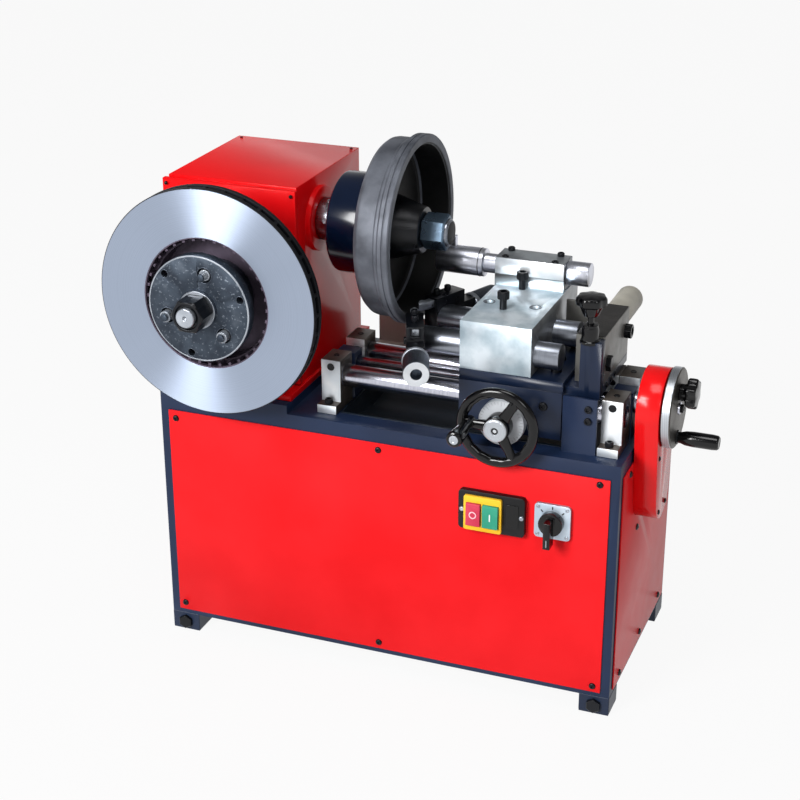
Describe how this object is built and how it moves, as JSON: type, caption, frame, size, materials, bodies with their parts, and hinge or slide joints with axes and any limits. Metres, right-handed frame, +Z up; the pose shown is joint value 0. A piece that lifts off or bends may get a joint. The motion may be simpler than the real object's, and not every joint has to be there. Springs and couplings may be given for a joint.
{
  "type": "brake lathe",
  "caption": "Bench brake lathe on a cabinet: geared headstock turns a drum and a disc, and a saddle on guide bars carries disc tools and a boring bar.",
  "frame": {"origin": "middle of the footprint of the whole machine, on the floor", "axes": "+X to the right along the bed, +Y to the rear, +Z up"},
  "size_m": [0.7838, 0.418, 0.7187],
  "materials": {
    "aluminium": "machined aluminium",
    "beige_plastic": "beige plastic",
    "black_plastic": "glossy black plastic",
    "cast_iron": "machined cast iron",
    "chrome": "hard chromed bar",
    "dark_steel": "dark blued or painted steel",
    "green_plastic": "green plastic",
    "grey_metal": "grey cast aluminium",
    "navy_paint": "semi-gloss navy paint",
    "pale_plate": "anodised plate",
    "pale_sheet": "beige painted sheet",
    "red_paint": "gloss red paint",
    "red_plastic": "red plastic",
    "rubber": "rubber belt",
    "turned_steel": "turned steel",
    "yellow_plastic": "yellow plastic"
  },
  "bodies": {
    "cabinet": {"cabinet_frame": "navy_paint", "front_panel": "red_paint", "left_rear_panel": "red_paint", "right_panel": "red_paint", "chip_tray": "navy_paint", "splash_plate": "pale_sheet", "headstock_housing": "red_paint", "headstock_cover": "red_paint", "main_motor": "dark_steel", "drive_belt": "rubber", "left_front_support": "aluminium", "right_front_support": "aluminium", "front_guide_bar": "chrome", "left_rear_support": "aluminium", "right_rear_support": "aluminium", "rear_guide_bar": "chrome", "feed_motor": "dark_steel", "feed_belt": "rubber", "belt_guard": "red_paint", "switch_plate": "black_plastic", "switch_bezel": "yellow_plastic", "cam_switch_plate": "pale_plate"},
    "disc_side": {"disc_spindle": "turned_steel", "brake_disc": "cast_iron", "disc_adapter": "dark_steel", "disc_nut": "dark_steel"},
    "drum_side": {"drum_spindle": "turned_steel", "drum_hub": "navy_paint", "brake_drum": "cast_iron", "drum_cone": "dark_steel", "drum_nut": "dark_steel"},
    "motor_shaft": {"motor_pulley": "cast_iron"},
    "carriage": {"saddle": "navy_paint", "holder_block": "grey_metal", "rear_rod": "beige_plastic"},
    "screw": {"lead_screw": "turned_steel", "crank_disc": "dark_steel"},
    "screw_grip": {"crank_grip": "black_plastic"},
    "clutch": {"clutch_knob": "black_plastic"},
    "feed_shaft": {"feed_motor_pulley": "cast_iron"},
    "carriage_lock": {"lock_knob": "black_plastic"},
    "wheel": {"wheel_shaft": "turned_steel", "handwheel": "black_plastic"},
    "wheel_grip": {"handwheel_grip": "black_plastic"},
    "cross_feed": {"cross_screw": "turned_steel"},
    "slide": {"cross_slide": "navy_paint", "tool_block": "aluminium", "bar_clamp_cap": "aluminium"},
    "front_tool": {"front_tool_bar": "chrome", "front_tool_head": "dark_steel"},
    "front_knob": {"front_tool_knob": "dark_steel"},
    "front_bit": {"front_tool_bit": "turned_steel"},
    "rear_tool": {"rear_tool_bar": "chrome", "rear_tool_head": "dark_steel"},
    "rear_knob": {"rear_tool_knob": "dark_steel"},
    "rear_bit": {"rear_tool_bit": "turned_steel"},
    "boring_tool": {"boring_bar": "chrome"},
    "stop": {"stop_button": "red_plastic"},
    "start": {"start_button": "green_plastic"},
    "selector": {"cam_switch_knob": "black_plastic"}
  },
  "joints": [
    {"name": "disc_spindle_turn", "type": "hinge", "parent": "cabinet", "child": "disc_side", "pos_m": [-0.2415, -0.05, 0.527], "axis": [0, 1, 0], "continuous": true},
    {"name": "drum_spindle_turn", "type": "hinge", "parent": "cabinet", "child": "drum_side", "pos_m": [-0.0448, 0.0337, 0.595], "axis": [1, 0, 0], "continuous": true},
    {"name": "motor_pulley_turn", "type": "hinge", "parent": "cabinet", "child": "motor_shaft", "pos_m": [-0.2415, 0.13, 0.18], "axis": [0, 1, 0], "continuous": true},
    {"name": "saddle_slide", "type": "slide", "parent": "cabinet", "child": "carriage", "axis": [1, 0, 0], "range_m": [0, 0.03]},
    {"name": "lead_screw_turn", "type": "hinge", "parent": "cabinet", "child": "screw", "pos_m": [0.2052, 0.0067, 0.409], "axis": [1, 0, 0], "range_deg": [0, 2160]},
    {"name": "crank_grip_turn", "type": "hinge", "parent": "screw", "child": "screw_grip", "pos_m": [0.3605, 0.0067, 0.369], "axis": [1, 0, 0], "continuous": true},
    {"name": "clutch_knob_turn", "type": "hinge", "parent": "screw", "child": "clutch", "pos_m": [0.3455, 0.0067, 0.431], "axis": [1, 0, 0], "range_deg": [-180, 180]},
    {"name": "feed_motor_turn", "type": "hinge", "parent": "cabinet", "child": "feed_shaft", "pos_m": [0.2952, 0.0067, 0.289], "axis": [1, 0, 0], "range_deg": [0, 4180]},
    {"name": "lock_knob_turn", "type": "hinge", "parent": "carriage", "child": "carriage_lock", "pos_m": [0.233, -0.0498, 0.55], "axis": [0, 0, 1], "range_deg": [-180, 180]},
    {"name": "handwheel_turn", "type": "hinge", "parent": "carriage", "child": "wheel", "pos_m": [0.1365, -0.1113, 0.4], "axis": [0, 1, 0], "range_deg": [-782, 782]},
    {"name": "handwheel_grip_turn", "type": "hinge", "parent": "wheel", "child": "wheel_grip", "pos_m": [0.09902, -0.145, 0.40131], "axis": [0, 1, 0], "continuous": true},
    {"name": "cross_screw_turn", "type": "hinge", "parent": "carriage", "child": "cross_feed", "pos_m": [0.1365, 0, 0.429], "axis": [0, 1, 0], "range_deg": [-2160, 2160]},
    {"name": "cross_slide_travel", "type": "slide", "parent": "carriage", "child": "slide", "axis": [0, 1, 0], "range_m": [-0.012, 0.012]},
    {"name": "front_bar_slide", "type": "slide", "parent": "slide", "child": "front_tool", "axis": [1, 0, 0], "range_m": [0, 0.016]},
    {"name": "rear_bar_slide", "type": "slide", "parent": "slide", "child": "rear_tool", "axis": [1, 0, 0], "range_m": [0, 0.01]},
    {"name": "front_knob_turn", "type": "hinge", "parent": "front_tool", "child": "front_knob", "pos_m": [-0.0065, -0.0263, 0.47], "axis": [0.3697, -0.9291, 0], "range_deg": [-1080, 1080]},
    {"name": "front_bit_slide", "type": "slide", "parent": "front_tool", "child": "front_bit", "axis": [0.3697, -0.9291, 0], "range_m": [-0.003, 0.003]},
    {"name": "rear_knob_turn", "type": "hinge", "parent": "rear_tool", "child": "rear_knob", "pos_m": [-0.0065, 0.0347, 0.47], "axis": [0.3697, 0.9291, 0], "range_deg": [-1080, 1080]},
    {"name": "rear_bit_slide", "type": "slide", "parent": "rear_tool", "child": "rear_bit", "axis": [0.3697, 0.9291, 0], "range_m": [-0.003, 0.003]},
    {"name": "boring_bar_slide", "type": "slide", "parent": "slide", "child": "boring_tool", "axis": [1, 0, 0], "range_m": [0, 0.018]},
    {"name": "stop_button_press", "type": "slide", "parent": "cabinet", "child": "stop", "axis": [0, 1, 0], "range_m": [0, 0.003], "stiffness_N_per_m": 200},
    {"name": "start_button_press", "type": "slide", "parent": "cabinet", "child": "start", "axis": [0, 1, 0], "range_m": [0, 0.003], "stiffness_N_per_m": 200},
    {"name": "cam_switch_turn", "type": "hinge", "parent": "cabinet", "child": "selector", "pos_m": [0.20725, -0.1, 0.2745], "axis": [0, 1, 0], "range_deg": [-45, 45]}
  ],
  "couplings": [
    {"joint": "drum_spindle_turn", "follows": "disc_spindle_turn", "ratio": 1},
    {"joint": "motor_pulley_turn", "follows": "disc_spindle_turn", "ratio": 1.7692},
    {"joint": "lead_screw_turn", "follows": "saddle_slide", "rad_per_m": 1256.6},
    {"joint": "feed_motor_turn", "follows": "saddle_slide", "rad_per_m": 2429.5},
    {"joint": "cross_screw_turn", "follows": "cross_slide_travel", "rad_per_m": -3141.5},
    {"joint": "handwheel_turn", "follows": "cross_slide_travel", "rad_per_m": 1136.9},
    {"joint": "front_bit_slide", "follows": "front_knob_turn", "m_per_rad": 0.000159},
    {"joint": "rear_bit_slide", "follows": "rear_knob_turn", "m_per_rad": 0.000159}
  ]
}
